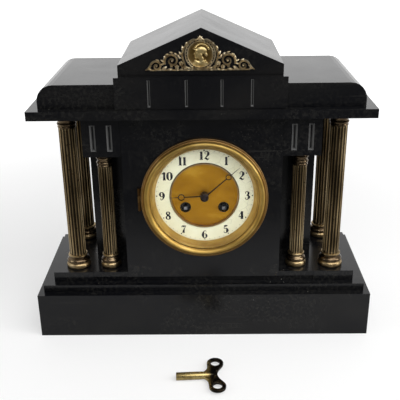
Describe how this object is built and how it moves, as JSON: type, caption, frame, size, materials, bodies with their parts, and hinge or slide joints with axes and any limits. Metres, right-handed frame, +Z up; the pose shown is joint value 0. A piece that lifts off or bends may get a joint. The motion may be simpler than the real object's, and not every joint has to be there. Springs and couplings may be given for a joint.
{
  "type": "mantel clock",
  "caption": "Black slate mantel clock in temple form: fluted bronze columns, pierced gilt mount on the pediment, gilt and enamel dial, hinged bezel, striking movement, bell and winding key",
  "frame": {"origin": "centre of the plinth's underside, where the clock stands on its shelf", "axes": "+X to the right as seen from the front, -Y out of the front of the dial, +Z up"},
  "size_m": [0.374, 0.2597, 0.3449],
  "materials": {
    "slate": "polished black slate, sawn edges a little greyer",
    "bronze": "brown patinated bronze, rubbed bright on the mouldings",
    "gilt": "gilt lacquered brass",
    "enamel": "cream enamel",
    "glass": "clear, slightly domed",
    "blued_steel": "dark blued steel",
    "brass": "plain brass",
    "steel": "polished steel",
    "bell_metal": "bell bronze",
    "key_metal": "worn brass, dark on the bow"
  },
  "bodies": {
    "case": {"plinth": "slate", "lower_step": "slate", "pedestal_left": "slate", "pedestal_right": "slate", "centre_step": "slate", "front_panel": "slate", "return_left": "slate", "return_right": "slate", "wing_left": "slate", "wing_right": "slate", "side_wall_left": "slate", "side_wall_right": "slate", "back_panel": "slate", "frieze_block_left": "slate", "frieze_block_right": "slate", "cornice_slab": "slate", "upper_block": "slate", "centre_frieze": "slate", "pediment": "slate", "column_front_outer_left": "bronze", "column_front_outer_right": "bronze", "column_rear_left": "bronze", "column_rear_right": "bronze", "column_front_inner_left": "bronze", "column_front_inner_right": "bronze", "pediment_mount": "gilt", "dial_pan": "gilt", "dial_ring": "enamel", "front_plate": "brass", "back_plate": "brass", "suspension_cock": "brass", "bell": "bell_metal", "bell_stand": "steel", "rear_ring": "brass"},
    "bezel_door": {"bezel": "gilt", "bezel_glass": "glass"},
    "minute_arbor": {"centre_wheel": "brass", "minute_hand": "blued_steel", "hand_nut": "blued_steel"},
    "hour_pipe": {"hour_wheel": "brass", "hour_hand": "blued_steel"},
    "minute_wheel_arbor": {"minute_wheel": "brass"},
    "going_barrel_body": {"going_barrel": "brass"},
    "going_winder": {"going_winding_arbor": "steel"},
    "going_second_arbor": {"going_second_wheel": "brass"},
    "third_arbor": {"third_wheel": "brass"},
    "escape_arbor": {"escape_wheel": "steel"},
    "anchor_arbor": {"anchor": "steel"},
    "pendulum": {"pendulum_rod": "steel", "pendulum_bob": "brass"},
    "strike_barrel_body": {"strike_barrel": "brass"},
    "strike_winder": {"strike_winding_arbor": "steel"},
    "strike_second_arbor": {"strike_second_wheel": "brass"},
    "pin_arbor": {"pin_wheel": "brass"},
    "locking_arbor": {"locking_wheel": "brass"},
    "fly_arbor": {"fly": "steel"},
    "hammer_arbor": {"hammer": "steel"},
    "regulator": {"regulator_arbor": "steel"},
    "door": {"back_door": "brass"},
    "key": {"winding_key": "key_metal"}
  },
  "joints": [
    {"name": "minute_turn", "type": "hinge", "parent": "case", "child": "minute_arbor", "pos_m": [0.0022, -0.04, 0.1629], "axis": [0, 1, 0], "continuous": true},
    {"name": "hour_turn", "type": "hinge", "parent": "case", "child": "hour_pipe", "pos_m": [0.0022, -0.048, 0.1629], "axis": [0, 1, 0], "continuous": true},
    {"name": "minute_wheel_turn", "type": "hinge", "parent": "case", "child": "minute_wheel_arbor", "pos_m": [0.0022, -0.042, 0.1738], "axis": [0, 1, 0], "continuous": true},
    {"name": "going_barrel_turn", "type": "hinge", "parent": "case", "child": "going_barrel_body", "pos_m": [0.0232, -0.028, 0.1485], "axis": [0, 1, 0], "continuous": true},
    {"name": "going_second_turn", "type": "hinge", "parent": "case", "child": "going_second_arbor", "pos_m": [0.01568, -0.028, 0.16866], "axis": [0, 1, 0], "continuous": true},
    {"name": "third_turn", "type": "hinge", "parent": "case", "child": "third_arbor", "pos_m": [-0.00307, -0.028, 0.17598], "axis": [0, 1, 0], "continuous": true},
    {"name": "escape_turn", "type": "hinge", "parent": "case", "child": "escape_arbor", "pos_m": [0.0022, -0.028, 0.1855], "axis": [0, 1, 0], "continuous": true},
    {"name": "strike_turn", "type": "hinge", "parent": "case", "child": "pin_arbor", "pos_m": [-0.0143, -0.028, 0.18003], "axis": [0, 1, 0], "continuous": true},
    {"name": "strike_barrel_turn", "type": "hinge", "parent": "case", "child": "strike_barrel_body", "pos_m": [-0.0188, -0.028, 0.1485], "axis": [0, 1, 0], "continuous": true},
    {"name": "strike_second_turn", "type": "hinge", "parent": "case", "child": "strike_second_arbor", "pos_m": [-0.02142, -0.028, 0.16986], "axis": [0, 1, 0], "continuous": true},
    {"name": "locking_turn", "type": "hinge", "parent": "case", "child": "locking_arbor", "pos_m": [-0.00935, -0.028, 0.18861], "axis": [0, 1, 0], "continuous": true},
    {"name": "fly_turn", "type": "hinge", "parent": "case", "child": "fly_arbor", "pos_m": [-0.01003, -0.028, 0.19645], "axis": [0, 1, 0], "continuous": true},
    {"name": "pendulum_swing", "type": "hinge", "parent": "case", "child": "pendulum", "pos_m": [0.0022, -0.005, 0.1964], "axis": [0, 1, 0], "range_deg": [-3, 3]},
    {"name": "anchor_rock", "type": "hinge", "parent": "case", "child": "anchor_arbor", "pos_m": [0.0022, -0.025, 0.1964], "axis": [0, 1, 0], "range_deg": [-3.5, 3.5]},
    {"name": "going_winding", "type": "hinge", "parent": "case", "child": "going_winder", "pos_m": [0.0232, -0.045, 0.1485], "axis": [0, 1, 0], "range_deg": [0, 1620]},
    {"name": "strike_winding", "type": "hinge", "parent": "case", "child": "strike_winder", "pos_m": [-0.0188, -0.045, 0.1485], "axis": [0, 1, 0], "range_deg": [0, 1620]},
    {"name": "hammer_lift", "type": "hinge", "parent": "case", "child": "hammer_arbor", "pos_m": [-0.0358, 0, 0.1749], "axis": [0, 1, 0], "range_deg": [0, 18], "stiffness_Nm_per_rad": 0.001, "springref_deg": -5.73},
    {"name": "regulator_turn", "type": "hinge", "parent": "case", "child": "regulator", "pos_m": [0.0022, -0.03, 0.2155], "axis": [0, 1, 0], "range_deg": [-720, 720]},
    {"name": "bezel_hinge", "type": "hinge", "parent": "case", "child": "bezel_door", "pos_m": [-0.0686, -0.0603, 0.1629], "axis": [0, 0, -1], "range_deg": [0, 110]},
    {"name": "back_door_hinge", "type": "hinge", "parent": "case", "child": "door", "pos_m": [0.0538, 0.0596, 0.1629], "axis": [0, 0, -1], "range_deg": [0, 110]},
    {"name": "key_lift", "type": "slide", "parent": "case", "child": "key", "axis": [0, 0, 1], "range_m": [0, 0.06]}
  ],
  "couplings": [
    {"joint": "hour_turn", "follows": "minute_turn", "ratio": 0.083333},
    {"joint": "minute_wheel_turn", "follows": "minute_turn", "ratio": -0.33333},
    {"joint": "going_second_turn", "follows": "minute_turn", "ratio": -0.16667},
    {"joint": "going_barrel_turn", "follows": "minute_turn", "ratio": 0.027778},
    {"joint": "third_turn", "follows": "minute_turn", "ratio": -6},
    {"joint": "escape_turn", "follows": "minute_turn", "ratio": 36},
    {"joint": "strike_second_turn", "follows": "strike_turn", "ratio": -0.16667},
    {"joint": "strike_barrel_turn", "follows": "strike_turn", "ratio": 0.027778},
    {"joint": "locking_turn", "follows": "strike_turn", "ratio": -6},
    {"joint": "fly_turn", "follows": "strike_turn", "ratio": 30},
    {"joint": "anchor_rock", "follows": "pendulum_swing", "ratio": 1}
  ]
}
